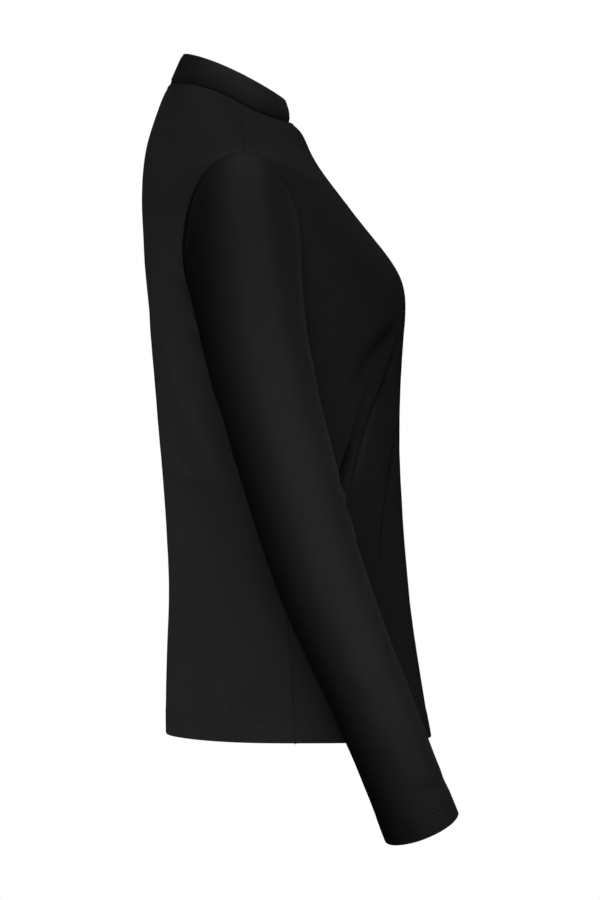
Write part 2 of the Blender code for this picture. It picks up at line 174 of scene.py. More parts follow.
SLEEVE_CREASES = (
    Crease("inner elbow, upper", 40, -0.330, 118, -0.352, 0.004, 0.0050, 0.0013, 0.5),
    Crease("inner elbow, middle", 28, -0.362, 132, -0.378, -0.003, 0.0055, 0.0016, 0.5),
    Crease("inner elbow, lower", 44, -0.396, 112, -0.402, 0.003, 0.0050, 0.0011, 0.5),
    Crease("elbow to outside", 118, -0.372, 196, -0.440, 0.004, 0.0080, 0.0008, 0.3),
    Crease("back of the arm", 300, -0.210, 246, -0.330, -0.006, 0.0090, 0.0014, 0.3),
    Crease("underarm to front", 20, -0.228, 96, -0.272, 0.003, 0.0060, 0.0013, 0.5),
    Crease("underarm to back", 338, -0.232, 262, -0.282, -0.003, 0.0060, 0.0013, 0.5),
    Crease("forearm twist", 70, -0.470, 196, -0.556, 0.006, 0.0100, 0.0008, 0.3),
    Crease("inner forearm", 16, -0.500, 66, -0.590, 0.004, 0.0080, 0.0009, 0.4),
    Crease("wrist, upper", 60, -0.606, 190, -0.622, 0.003, 0.0050, 0.0006, 0.5),
)
CREASE_FADE = 0.7         # under 1, a crease keeps its depth further towards its ends
CREASE_REACH = 4.0        # how many widths from its line a crease ends
RIDGE_OFF = 1.6           # how many widths from its line a ridge has its top
RIDGE_SHARE = 0.6
# The cloth is split finer round creases up to a width, within so many of their widths.
REFINE = ((0.0065, 2.6), (0.0032, 2.4))

# ---------------------------------------------------------------------------------------------
# Seams. The cloth rolls in by depth over a width beside the seam, pillow is the height of the
# swell that follows, and sink is the depth of the soft trough that the seam lies in.

Seam = namedtuple("Seam", "width depth pillow pillow_at pillow_width pucker sink")
BODY_SEAMS = {
    "side": Seam(0.0006, 0.0003, 0.0001, 0.0030, 0.0022, 0.00012, 0.0),
    "armhole": Seam(0.0018, 0.0016, 0.0000, 0.0050, 0.0022, 0.00030, 0.0010),
    "shoulder": Seam(0.0006, 0.0002, 0.0000, 0.0028, 0.0022, 0.00006, 0.0002),
    "neck": Seam(0.0010, 0.0006, 0.0006, 0.0026, 0.0016, 0.00012, 0.0),
}
SLEEVE_SEAMS = {
    "armhole": Seam(0.0008, 0.0008, 0.0018, 0.0018, 0.0013, 0.00030, 0.0),
    "underarm": Seam(0.0012, 0.0012, 0.0002, 0.0030, 0.0022, 0.00020, 0.0),
}
COLLAR_SEAM = Seam(0.0036, 0.0012, 0.0000, 0.0026, 0.0022, 0.00010, 0.0008)
COLLAR_SEAM_BEHIND = 0.3   # share of the collar's seam relief at the centre back
COLLAR_BULGE = 0.0008    # how far the middle of the collar's height swells out
SINK_WIDTH = 0.0065
PUCKER_PITCH = 95.0      # puckers for each metre of seam, about
PUCKER_REACH = 0.0080    # how far from the seam they fade
SEAM_REACH = 0.0160
SEAM_STEP = 0.0007       # spacing of the points that mark a seam

# Insets of a seam allowance's rows, past the roll, and how far off the seam the strips beside it are.
ALLOWANCE_INSETS = (0.0062, 0.0042, 0.0022)
HEM_ALLOWANCE_INSETS = (0.00145, 0.00140, 0.00130)
SEAM_STRIPS = (0.0, 0.0001, 0.0003, 0.0006, 0.0010, 0.0014, 0.0018, 0.0023, 0.0029, 0.0036, 0.0052, 0.0072)

# Spacing of the sheet's rows and columns.
BAND_STEP = 0.0010       # across a hem
ROW_STEP = 0.0037
COLLAR_STEP = 0.0011
FOLD_STEPS = 6           # round a fold
ARMHOLE_CURVE = 1.15     # length of an armhole's half for each metre of its height
SHOULDER_ROWS = 0.25     # along the sloping shoulder the level rises by this share of a step
NECK_STRIPS = 0.5        # and beside the neck seam by this share of a strip
WELD = 0.00005           # how near the collar's two ends lie where they join
HALF_COLUMNS_FRONT = 50
HALF_COLUMNS_BACK = 54
CAP_ROWS = 34
SLEEVE_COLUMNS = 76
COLLAR_COLUMNS = 132

# Where the hem stands out: (turn, spread in degrees, height up the cloth, how far out).
HEM_FLARES = (
    (-100, 28, 0.024, 0.0060),
    (96, 30, 0.026, 0.0046),
    (-160, 16, 0.020, 0.0012),
    (30, 26, 0.022, 0.0014),
)

# Broad unevenness of the cloth: (waves for each metre, height).
UNEVENNESS = ((9.0, 0.0009), (24.0, 0.00045), (60.0, 0.00016))
SLEEVE_UNEVENNESS = 0.8  # shares of it on a sleeve and on the collar
COLLAR_UNEVENNESS = 0.4


# ---------------------------------------------------------------------------------------------
# The form's functions.

def mix(low, high, share):
    return low + (high - low) * share


def hermite(start, end, start_slope, end_slope, share):
    """A cubic from start to end, for numbers and for vectors."""
    square = share * share
    cube = square * share
    return (
        start * (2 * cube - 3 * square + 1)
        + start_slope * (cube - 2 * square + share)
        + end * (3 * square - 2 * cube)
        + end_slope * (cube - square)
    )


def smooth_curve(places, values):
    """The natural cubic spline through the values."""
    count = len(places)
    spans = [places[i + 1] - places[i] for i in range(count - 1)]
    steps = [(values[i + 1] - values[i]) / spans[i] for i in range(count - 1)]
    system = numpy.eye(count)
    turns = numpy.zeros(count)
    for i in range(1, count - 1):
        system[i, i - 1:i + 2] = spans[i - 1], 2 * (spans[i - 1] + spans[i]), spans[i]
        turns[i] = 6 * (steps[i] - steps[i - 1])
    bends = numpy.linalg.solve(system, turns).tolist()

    def read(place):
        i = min(max(bisect_right(places, place) - 1, 0), count - 2)
        past = place - places[i]
        ahead = places[i + 1] - place
        return (
            (bends[i] * ahead ** 3 + bends[i + 1] * past ** 3) / (6 * spans[i])
            + (values[i] / spans[i] - bends[i] * spans[i] / 6) * ahead
            + (values[i + 1] / spans[i] - bends[i + 1] * spans[i] / 6) * past
        )

    return read


def ring_reader(rings):
    """A function that gives the ring of a form at any level."""
    levels = [ring.level for ring in rings]
    columns = [
        smooth_curve(levels, [getattr(ring, field) for ring in rings]) for field in Ring._fields[2:]
    ]

    @lru_cache(maxsize=None)
    def read(level):
        return Ring("", level, *(column(level) for column in columns))

    return read


body_ring = ring_reader(BODY_RINGS)
collar_ring = ring_reader(COLLAR_RINGS)


def height_at(ring, along, centre_y, centre_z):
    """The height of a ring at a share of the way from the side to the centre front or back."""
    leaning = ring.lean * (centre_y - ring.side_y)
    return ring.level + leaning * along + (centre_z - ring.level - leaning) * along * along


def ring_point(ring, turn, in_front=True):
    """The point of a ring at a turn in degrees: 0 centre front, 90 left side, 180 centre back."""
    in_front = in_front and abs(turn) <= 90
    power = ring.front_power if in_front else ring.back_power
    centre_y = ring.front_y if in_front else ring.back_y
    centre_z = ring.front_z if in_front else ring.back_z
    seam_y = ring.side_y + SEAM_GAP / 2 * (-1 if in_front else 1)
    across = abs(math.sin(math.radians(turn))) ** (2 / power)
    along = abs(math.cos(math.radians(turn))) ** (2 / power)
    return Vector((
        math.copysign(ring.half_width * across, turn),
        mix(seam_y, centre_y, along),
        height_at(ring, along, centre_y, centre_z),
    ))


def outward(ring_at, level, turn):
    """The outward direction of a form."""
    near_turn = 0.5
    near_level = 0.001
    side = abs(turn)
    side = min(side, 90 - near_turn) if side <= 90 else max(side, 90 + 2 * near_turn)
    side = math.copysign(side, turn)
    ring = ring_at(level)
    sideways = ring_point(ring, side + near_turn) - ring_point(ring, side - near_turn)
    upwards = (
        ring_point(ring_at(level + near_level), side) - ring_point(ring_at(level - near_level), side)
    )
    return sideways.cross(upwards).normalized()


def on_body(y, z, in_front):
    """The ring level and the turn of the point of the left half that has this y and z."""
    reach = 0.06
    low = z - reach
    high = z + reach
    for _ in range(40):
        level = (low + high) / 2
        ring = body_ring(level)
        centre_y = ring.front_y if in_front else ring.back_y
        centre_z = ring.front_z if in_front else ring.back_z
        along = min(max((y - ring.side_y) / (centre_y - ring.side_y), 0.0), 1.0)
        if height_at(ring, along, centre_y, centre_z) < z:
            low = level
        else:
            high = level
    power = ring.front_power if in_front else ring.back_power
    from_centre = math.degrees(math.acos(along ** (power / 2)))
    return level, from_centre if in_front else 180 - from_centre


@lru_cache(maxsize=None)
def armhole_place(around):
    """(level, turn) of the left armhole: 0 and 360 at the underarm, 90 in front, 180 on top."""
    in_front = around <= 180
    climb = math.radians(around if in_front else 360 - around)
    if math.sin(climb) < 0.0001:
        return (UNDERARM_LEVEL if math.cos(climb) > 0 else SHOULDER_LEVEL), 90.0
    depth = -ARMHOLE_FRONT_DEPTH if in_front else ARMHOLE_BACK_DEPTH
    z = mix(UNDERARM_LEVEL, SHOULDER_LEVEL, (1 - math.cos(climb)) / 2)
    return on_body(body_ring(z).side_y + depth * math.sin(climb), z, in_front)


@lru_cache(maxsize=None)
def armhole_point(around):
    """(point, outward direction) of the left armhole."""
    level, turn = armhole_place(around)
    return ring_point(body_ring(level), turn), outward(body_ring, level, turn)


def sleeve_reader():
    drops = [station.drop for station in SLEEVE_STATIONS]
    return {
        field: smooth_curve(drops, [getattr(station, field) for station in SLEEVE_STATIONS])
        for field in Station._fields[2:]
    }


SLEEVE = sleeve_reader()


def sleeve_centre(drop):
    return Vector((SLEEVE["x"](drop), SLEEVE["y"](drop), -drop))


@lru_cache(maxsize=None)
def sleeve_frame(drop):
    """The centre of the left sleeve, its axis, and its outward and forward directions."""
    near = 0.004
    axis = (sleeve_centre(drop + near) - sleeve_centre(drop - near)).normalized()
    sideways = (Vector((1, 0, 0)) - axis * axis.x).normalized()
    forward = sideways.cross(axis).normalized()
    if forward.y > 0:
        forward = -forward
    return (
        sleeve_centre(drop), axis,
        sideways * SLEEVE["half_breadth"](drop), forward * SLEEVE["half_depth"](drop),
    )


def sleeve_ring_point(drop, around):
    """A point of the sleeve: around 0 is inside, 90 in front, 180 outside and 270 behind."""
    centre, _, sideways, forward = sleeve_frame(drop)
    angle = math.radians(around)
    return centre - sideways * math.cos(angle) + forward * math.sin(angle)


@lru_cache(maxsize=None)
def cap_ends(around):
    """(start, end, start slope, end slope) of the cap's curve at one place round the sleeve."""
    edge, out = armhole_point(around % 360)
    slope = math.radians(SHOULDER_SLOPE)
    over_shoulder = Vector((math.cos(slope), 0, -math.sin(slope)))
    height = (1 - math.cos(math.radians(around))) / 2
    leave = Vector(UNDERARM_LEAVE).normalized().lerp(over_shoulder, height ** LEAVE_POWER).normalized()
    start = edge + leave * SEAM_GAP * 1.5 + out * SEAM_GAP
    end = sleeve_ring_point(BICEPS_DROP, around)
    span = (end - start).length
    axis = sleeve_frame(BICEPS_DROP)[1]
    return start, end, leave * span * START_PULL, axis * span * END_PULL


def sleeve_point(around, way):
    """A point of the left sleeve. way runs from 0 to 1 down the cap, then in metres of drop."""
    if way > 1:
        return sleeve_ring_point(BICEPS_DROP + way - 1, around)
    start, end, start_slope, end_slope = cap_ends(around)
    return hermite(start, end, start_slope, end_slope, way)


def sleeve_outward(around, way):
    near_turn = 0.8
    near_way = 0.006
    low = max(way - near_way, 0.0)
    sideways = sleeve_point(around + near_turn, way) - sleeve_point(around - near_turn, way)
    downwards = sleeve_point(around, way + near_way) - sleeve_point(around, low)
    return downwards.cross(sideways).normalized()


# ---------------------------------------------------------------------------------------------
# Relief: creases, seams, hems and the broad unevenness of worn jersey.

# A crease laid out on a form, with the box of turns and levels that it can move.
Fold = namedtuple("Fold", "crease metres run fall length first last low high")


def folds(creases, metres_per_degree):
    """The creases laid out where a degree of turn is so many metres of cloth."""
    laid = []
    for crease in creases:
        run = (crease.turn_to - crease.turn_from) * metres_per_degree
        fall = crease.level_to - crease.level_from
        reach = CREASE_REACH * crease.width + abs(crease.bow)
        first, last = sorted((crease.turn_from, crease.turn_to))
        low, high = sorted((crease.level_from, crease.level_to))
        laid.append(Fold(
            crease, metres_per_degree, run, fall, math.hypot(run, fall),
            first - reach / metres_per_degree, last + reach / metres_per_degree, low - reach, high + reach,
        ))
    return laid


BODY_FOLDS = folds(BODY_CREASES, METRES_PER_DEGREE)
SLEEVE_FOLDS = folds(SLEEVE_CREASES, SLEEVE_METRES_PER_DEGREE)


def fold_place(fold, turn, level):
    """(share of the way along a fold, distance from its line in its own widths)."""
    sideways = (turn - fold.crease.turn_from) * fold.metres
    down = level - fold.crease.level_from
    share = (sideways * fold.run + down * fold.fall) / fold.length ** 2
    arch = math.sin(math.pi * min(max(share, 0.0), 1.0))
    off = (sideways * fold.fall - down * fold.run) / fold.length - fold.crease.bow * arch
    return share, off / fold.crease.width


def crease_height(laid, turn, level):
    """How far the creases move the cloth out, or in where it is less than 0."""
    height = 0.0
    for fold in laid:
        if not (fold.low < level < fold.high and fold.first < turn < fold.last):
            continue
        share, off = fold_place(fold, turn, level)
        if 0 < share < 1 and abs(off) < CREASE_REACH:
            fade = fold.crease.depth * math.sin(math.pi * share) ** CREASE_FADE
            height -= fade * math.exp(-off * off)
            upper = off * math.copysign(1, fold.run) + RIDGE_OFF
            height += fade * fold.crease.ridge * RIDGE_SHARE * math.exp(-upper * upper)
    return height


def mirrored(point, side):
    """A point of the left half on side 1, or its image on side -1."""
    return Vector((point.x * side, point.y, point.z))


def unevenness(point):
    return sum(height * noise.noise(point * waves) for waves, height in UNEVENNESS)


def marked_line(points):
    """A tree of points along a seam, for finding how near the cloth is to it."""
    tree = kdtree.KDTree(len(points))
    for index, point in enumerate(points):
        tree.insert(point, index)
    tree.balance()
    return tree


def steps_between(low, high, step):
    """Evenly spaced values from low to high, about a step apart, both ends among them."""
    count = max(1, round(abs(high - low) / step))
    return [mix(low, high, index / count) for index in range(count + 1)]


def seam_height(point, seams):
    """How far the seams near a point move the cloth out, or in where it is less than 0."""
    height = 0.0
    for seam, line in seams:
        nearest, _, distance = line.find(point)
        if distance > SEAM_REACH:
            continue
        if distance < seam.width:
            rolled = 1 - distance / seam.width
            height -= seam.depth * (1 - math.sqrt(max(0.0, 1 - rolled * rolled)))
        swell = (distance - seam.pillow_at) / seam.pillow_width
        height += seam.pillow * math.exp(-swell * swell) - seam.sink * math.exp(-(distance / SINK_WIDTH) ** 2)
        ripple = noise.noise(nearest * PUCKER_PITCH) * math.exp(-distance / PUCKER_REACH)
        height += seam.pucker * ripple * min(1.0, distance / seam.pillow_at)
    return height


def band_height(rise, along, sizes):
    """The relief of a hem: rise is the height above its edge, along the distance round it."""
    height = 0.0
    for line in needle_lines(sizes):
        off = (rise - line) / sizes.stitch_width / 1.6
        height -= sizes.stitch_sink * math.exp(-off * off)
    if rise < sizes.hem_depth * 2:
        swell = math.exp(-((rise - sizes.hem_depth * 0.6) / sizes.hem_depth) ** 2)
        ripple = noise.noise(Vector((along * 70, rise * 14, 0.3)))
        height += sizes.hem_pucker * ripple * swell
        height += sizes.hem_ease * (1 - smooth_step(sizes.hem_depth - 0.001, sizes.hem_depth + 0.004, rise))
    return height


def smooth_step(low, high, value):
    share = min(max((value - low) / (high - low), 0.0), 1.0)
    return share * share * (3 - 2 * share)


# ---------------------------------------------------------------------------------------------
# Sheets. Each is a grid, with its rows in order up or down the cloth. An inset is a depth under the
# outer side.

def fold_rows(edge, towards, radius, depth, step):
    """(place, inset) from the inner edge of a turned-up hem, round its fold, to the outer side.

    edge is the place of the fold, and towards is 1 or -1, the sign of the way up the cloth.
    """
    rows = [(edge + towards * rise, 2 * radius) for rise in steps_between(depth, radius, step * 2)]
    for index in range(1, FOLD_STEPS):
        angle = math.pi * (1 - index / FOLD_STEPS)
        rows.append((
            edge + towards * radius * (1 - math.sin(angle)),
            radius * (1 - math.cos(angle)),
        ))
    return rows


PLACE_LAYERS = ("turn", "level", "inset")


def sheet_mesh(columns, rows, place):
    """A bmesh grid placed by place(column, row), with UVs in metres along the cloth."""
    mesh = bmesh.new()
    bmesh.ops.create_grid(mesh, x_segments=columns - 1, y_segments=rows - 1, size=0.5)
    for name in PLACE_LAYERS:
        mesh.verts.layers.float.new(name)
    grid = [[None] * columns for _ in range(rows)]
    for vert in mesh.verts:
        column = round((vert.co.x + 0.5) * (columns - 1))
        row = round((vert.co.y + 0.5) * (rows - 1))
        grid[row][column] = vert
    for row, line in enumerate(grid):
        for column, vert in enumerate(line):
            vert.co = place(column, row)
    middle = columns // 2
    metres = {}
    rise = 0.0
    for row, line in enumerate(grid):
        if row:
            rise += (line[middle].co - grid[row - 1][middle].co).length
        across = [0.0]
        for left, right in zip(line, line[1:]):
            across.append(across[-1] + (right.co - left.co).length)
        for column, vert in enumerate(line):
            metres[vert] = (across[column] - across[middle], rise)
    layer = mesh.loops.layers.uv.new("cloth")
    for face in mesh.faces:
        for loop in face.loops:
            loop[layer].uv = metres[loop.vert]
    return mesh, grid


def cloth_piece(name, mesh, thickness, material):
    """A smooth object of a sheet, with its thickness on the inner side."""
    piece = plain_piece(name, mesh, material)
    for layer in PLACE_LAYERS:
        piece.data.attributes.remove(piece.data.attributes[layer])
    wall = piece.modifiers.new("cloth", "SOLIDIFY")
    wall.thickness = thickness
    wall.offset = -1.0
    return piece


def arc_turns(ring, edge, in_front, half_columns):
    """Turns from the centre to the edge, evenly spaced along the cloth, then the seam's strips."""
    samples = 90
    shares = [1 - (1 - index / samples) ** 2 for index in range(samples + 1)]
    flip = 0 if in_front else 180
    points = [ring_point(ring, flip + (edge * share if in_front else -edge * share), in_front)
              for share in shares]
    lengths = [0.0]
    for last, point in zip(points, points[1:]):
        lengths.append(lengths[-1] + (point - last).length)
    total = lengths[-1]
    inner = total - SEAM_STRIPS[-1]
    wanted = [inner * column / half_columns for column in range(half_columns)]
    wanted += [total - strip for strip in reversed(SEAM_STRIPS)]
    return numpy.interp(wanted, lengths, [edge * share for share in shares]).tolist()


def panel_rows(in_front, sizes):
    """(level, edge turn, inset, allowance insets) for each row of a panel, from hem to neck."""
    hem_top = HEM_LEVEL + sizes.hem_depth + sizes.hem_margin
    full = ALLOWANCE_INSETS
    rows = [
        (level, 90.0, inset, HEM_ALLOWANCE_INSETS)
        for level, inset in fold_rows(HEM_LEVEL, 1, sizes.fold_radius, sizes.hem_depth, BAND_STEP)
    ]
    rows += [
        (level, 90.0, 0.0, HEM_ALLOWANCE_INSETS)
        for level in steps_between(HEM_LEVEL + sizes.fold_radius, hem_top, BAND_STEP)
    ]
    rows += [(level, 90.0, 0.0, full) for level in steps_between(hem_top, UNDERARM_LEVEL, ROW_STEP)[1:]]
    steps = round((SHOULDER_LEVEL - UNDERARM_LEVEL) * ARMHOLE_CURVE / ROW_STEP)
    for step in range(1, steps):
        around = 180 * step / steps if in_front else 360 - 180 * step / steps
        level, turn = armhole_place(around)
        rows.append((level, turn if in_front else 180 - turn, 0.0, full))
    last_strips = [NECK_LEVEL - strip * NECK_STRIPS for strip in reversed(SEAM_STRIPS)]
    rows += [
        (level, 90.0, 0.0, full)
        for level in steps_between(SHOULDER_LEVEL, last_strips[0], ROW_STEP * SHOULDER_ROWS)[:-1]
    ]
    rows += [(level, 90.0, 0.0, full) for level in last_strips]
    rows += [(NECK_LEVEL, 90.0, inset, full) for inset in reversed(ALLOWANCE_INSETS)]
    return rows


def body_seam_lines():
    """The body's seams on both sides, each with its tree of points."""
    lines = {
        "side": [
            ring_point(body_ring(level), 90.0 * side)
            for level in steps_between(HEM_LEVEL, UNDERARM_LEVEL, SEAM_STEP) for side in (-1, 1)
        ],
        "shoulder": [
            ring_point(body_ring(level), 90.0 * side)
            for level in steps_between(SHOULDER_LEVEL, NECK_LEVEL, SEAM_STEP / 3) for side in (-1, 1)
        ],
        "neck": [
            ring_point(body_ring(NECK_LEVEL), turn) for turn in steps_between(-180, 180, 0.5)
        ],
        "armhole": [],
    }
    for around in steps_between(0.0, 360.0, 0.5):
        point, _ = armhole_point(around % 360)
        lines["armhole"] += [point, mirrored(point, -1)]
    return [(BODY_SEAMS[name], marked_line(points)) for name, points in lines.items()]


def body_shift(point, level, turn, sizes):
    """The outward shift of the body's cloth for its creases, hem and unevenness."""
    shift = crease_height(BODY_FOLDS, turn, level) + unevenness(point)
    rise = level - HEM_LEVEL
    if rise < sizes.hem_depth * 2:
        shift += band_height(rise, turn * METRES_PER_DEGREE, sizes)
    for place, spread, reach, flare in HEM_FLARES:
        shift += flare * math.exp(-((turn - place) / spread) ** 2 - 2 * max(rise, 0.0) / reach)
    return shift


def sleeve_shift(point, around, side, rise, sizes):
    """The outward shift of a sleeve's cloth for the same, rise metres above the edge of its cuff."""
    shift = crease_height(SLEEVE_FOLDS, around, point.z)
    shift += unevenness(mirrored(point, side)) * SLEEVE_UNEVENNESS
    if rise < sizes.hem_depth * 2:
        shift += band_height(rise, around * SLEEVE_METRES_PER_DEGREE + side, sizes)
    return shift


def near_crease(turn, level, width, reach):
    """Whether a crease no wider than width passes within its own width times reach."""
    for fold in BODY_FOLDS:
        if fold.crease.width <= width and fold.low < level < fold.high:
            share, off = fold_place(fold, turn, level)
            if -0.05 < share < 1.05 and abs(off) < reach:
                return True
    return False


def refine(mesh, width, reach):
    """Splits the faces near the narrow creases."""
    turn_layer, level_layer, inset_layer = (mesh.verts.layers.float[name] for name in PLACE_LAYERS)
    edges = set()
    for face in mesh.faces:
        if any(vert[inset_layer] != 0 for vert in face.verts):
            continue
        corners = len(face.verts)
        turn = sum(vert[turn_layer] for vert in face.verts) / corners
        level = sum(vert[level_layer] for vert in face.verts) / corners
        if near_crease(turn, level, width, reach):
            edges.update(face.edges)
    bmesh.ops.subdivide_edges(mesh, edges=list(edges), cuts=1, use_grid_fill=True)


def panel_sheet(in_front, half_columns, sizes):
    """The front or the back: hem, sides, armholes, shoulders and neck in one sheet."""
    rows = panel_rows(in_front, sizes)
    seams = body_seam_lines()
    extra = len(ALLOWANCE_INSETS)
    half = half_columns + len(SEAM_STRIPS) + extra - 1
    turns = [arc_turns(body_ring(level), edge, in_front, half_columns) for level, edge, _, _ in rows]
    places = {}

    def surface(turn, level, inset):
        point = ring_point(body_ring(level), turn, in_front)
        shift = body_shift(point, level, turn, sizes) + seam_height(point, seams)
        return point + outward(body_ring, level, turn) * (shift - inset)

    def place(column, row):
        level, _, inset, allowance = rows[row]
        step = abs(column - half)
        past = step - (half - extra)
        if past > 0:
            inset += allowance[extra - past]
            step -= past
        turn = turns[row][step]
        leftwards = (column > half) == in_front
        if not in_front:
            turn = 180 - turn
        turn = turn if leftwards else -turn
        places[column, row] = turn, level, inset
        return surface(turn, level, inset)

    mesh, grid = sheet_mesh(2 * half + 1, len(rows), place)
    layers = [mesh.verts.layers.float[name] for name in PLACE_LAYERS]
    for (column, row), values in places.items():
        for layer, value in zip(layers, values):
            grid[row][column][layer] = value
    placed = len(mesh.verts)
    for width, reach in REFINE:
        refine(mesh, width, reach)
    layers = [mesh.verts.layers.float[name] for name in PLACE_LAYERS]
    for vert in islice(mesh.verts, placed, None):
        vert.co = surface(*(vert[layer] for layer in layers))
    return mesh


def sleeve_sheet(side, sizes):
    """A whole sleeve, left for side 1 and right for -1, open along its underarm seam."""
    extra = len(ALLOWANCE_INSETS)
    strips = [strip / SLEEVE_METRES_PER_DEGREE for strip in SEAM_STRIPS]
    start = strips[-1]
    inner = [mix(start, 360 - start, index / SLEEVE_COLUMNS) for index in range(1, SLEEVE_COLUMNS)]
    edge = SEAM_GAP / 2 / SLEEVE_METRES_PER_DEGREE
    arounds = [edge + strip for strip in strips] + inner + [360 - edge - strip for strip in reversed(strips)]
    columns = (
        [(arounds[0], index) for index in range(extra)]
        + [(around, None) for around in arounds]
        + [(arounds[-1], index) for index in reversed(range(extra))]
    )
    band_top = CUFF_DROP - sizes.hem_depth - sizes.hem_margin
    rows = [("cap", None, inset, ALLOWANCE_INSETS) for inset in ALLOWANCE_INSETS]
    rows += [("strip", strip, 0.0, ALLOWANCE_INSETS) for strip in SEAM_STRIPS]
    rows += [("cap", index / CAP_ROWS, 0.0, ALLOWANCE_INSETS) for index in range(1, CAP_ROWS + 1)]
    rows += [
        ("arm", drop, 0.0, ALLOWANCE_INSETS)
        for drop in steps_between(BICEPS_DROP, band_top, ROW_STEP)[1:]
    ]
    rows += [
        ("arm", drop, 0.0, HEM_ALLOWANCE_INSETS)
        for drop in steps_between(band_top, CUFF_DROP - sizes.fold_radius, BAND_STEP)[1:]
    ]
    folded = fold_rows(CUFF_DROP, -1, sizes.fold_radius, sizes.hem_depth, BAND_STEP)
    rows += [("arm", drop, inset, HEM_ALLOWANCE_INSETS) for drop, inset in reversed(folded)]
    seams = [
        (SLEEVE_SEAMS["armhole"], marked_line([
            cap_ends(around)[0] for around in steps_between(0.0, 360.0, 0.5)
        ])),
        (SLEEVE_SEAMS["underarm"], marked_line(
            [sleeve_point(0.0, way) for way in steps_between(0.0, 1.0, 0.01)]
            + [sleeve_ring_point(drop, 0.0) for drop in steps_between(BICEPS_DROP, CUFF_DROP, SEAM_STEP)]
        )),
    ]

    def place(column, row):
        around, allowance = columns[column]
        kind, value, inset, allowances = rows[row]
        if allowance is not None:
            inset += allowances[allowance]
        if kind == "arm":
            way = 1 + value - BICEPS_DROP
        else:
            ends = cap_ends(around)
            speed = START_PULL * (ends[1] - ends[0]).length
            last = SEAM_STRIPS[-1] / speed
            if kind == "strip":
                way = value / speed
            else:
                way = 0.0 if value is None else mix(last, 1.0, value)
        point = sleeve_point(around, way)
        rise = CUFF_DROP - (BICEPS_DROP + way - 1)
        shift = sleeve_shift(point, around, side, rise, sizes) + seam_height(point, seams)
        if row < extra:
            out = armhole_point(around % 360)[1]
            rolled = point + sleeve_outward(around, way) * shift
            point = rolled - out * inset
        else:
            point = point + sleeve_outward(around, way) * (shift - inset)
        return mirrored(point, side)

    mesh, _ = sheet_mesh(len(columns), len(rows), place)
    if side > 0:
        bmesh.ops.reverse_faces(mesh, faces=mesh.faces)
    return mesh


def collar_sheet(sizes):
    """The collar: up from the neck seam, over the fold, and down inside to the seam again."""
    radius = sizes.collar_radius
    outer = [NECK_LEVEL + strip for strip in SEAM_STRIPS]
    outer += steps_between(outer[-1], COLLAR_TOP_LEVEL - radius, COLLAR_STEP)[1:]
    height = COLLAR_TOP_LEVEL - NECK_LEVEL
    folded = fold_rows(COLLAR_TOP_LEVEL, -1, radius, height - 0.001, BAND_STEP)
    rows = [(NECK_LEVEL, 0.0, inset) for inset in ALLOWANCE_INSETS]
    rows += [(level, 0.0, 0.0) for level in outer]
    rows += [(level, inset, 0.0) for level, inset in reversed(folded)]
    columns = COLLAR_COLUMNS + 1
    seams = [
        (COLLAR_SEAM, marked_line([
            ring_point(collar_ring(NECK_LEVEL), turn) for turn in steps_between(-180, 180, 0.4)
        ])),
    ]

    def place(column, row):
        level, inset, allowance = rows[row]
        turn = 360 * column / (columns - 1) - 180
        point = ring_point(collar_ring(level), turn)
        shift = unevenness(point) * COLLAR_UNEVENNESS
        if not inset:
            in_front = mix(COLLAR_SEAM_BEHIND, 1.0, (1 + math.cos(math.radians(turn))) / 2)
            shift += seam_height(point, seams) * in_front
            shift += COLLAR_BULGE * math.sin(math.pi * (level - NECK_LEVEL) / height)
        point = point + outward(collar_ring, level, turn) * (shift - inset)
        if allowance:
            point = point - outward(body_ring, NECK_LEVEL, turn) * allowance
        return point + Vector((0, 0, SEAM_GAP))

    mesh, _ = sheet_mesh(columns, len(rows), place)
    bmesh.ops.remove_doubles(mesh, verts=mesh.verts, dist=WELD)
    return mesh


# ---------------------------------------------------------------------------------------------
# Stitches.

STITCH_FILL = 0.44       # half a stitch's length, as a share of the distance to the next
STITCH_HEIGHT = 0.42     # half its height and its rise off the cloth, as shares of the thread
STITCH_LIFT = 0.15
CUFF_ROUND = 0.85        # length round a cuff, as a share of that round the sleeve


def one_stitch():
    """A ball of radius 1, to flatten and stretch into each stitch."""
    mesh = bmesh.new()
    bmesh.ops.create_uvsphere(mesh, u_segments=6, v_segments=5, radius=1)
    data = bpy.data.meshes.new("stitch")
    mesh.to_mesh(data)
    mesh.free()
    return data


def stitch_line(mesh, points, outs, sizes):
    """Small flattened stitches along a line of points, one between each two."""
    pattern = one_stitch()
    for start, end, out in zip(points, points[1:], outs):
        along = end - start
        reach = along.length
        along.normalize()
        across = out.cross(along).normalized()
        up = along.cross(across).normalized()
        middle = (start + end) / 2 + up * sizes.stitch_width * STITCH_LIFT
        spread = (
            along * reach * STITCH_FILL,
            across * sizes.stitch_width / 2,
            up * sizes.stitch_width * STITCH_HEIGHT,
        )
        matrix = Matrix((
            (spread[0].x, spread[1].x, spread[2].x, middle.x),
            (spread[0].y, spread[1].y, spread[2].y, middle.y),
            (spread[0].z, spread[1].z, spread[2].z, middle.z),
            (0, 0, 0, 1),
        ))
        stitch = pattern.copy()
        stitch.transform(matrix)
        mesh.from_mesh(stitch)
        bpy.data.meshes.remove(stitch)
    bpy.data.meshes.remove(pattern)


def needle_lines(sizes):
    """Heights of the two lines of stitches above the edge of a hem."""
    upper = sizes.hem_depth - sizes.hem_margin
    return upper - sizes.needle_gauge, upper


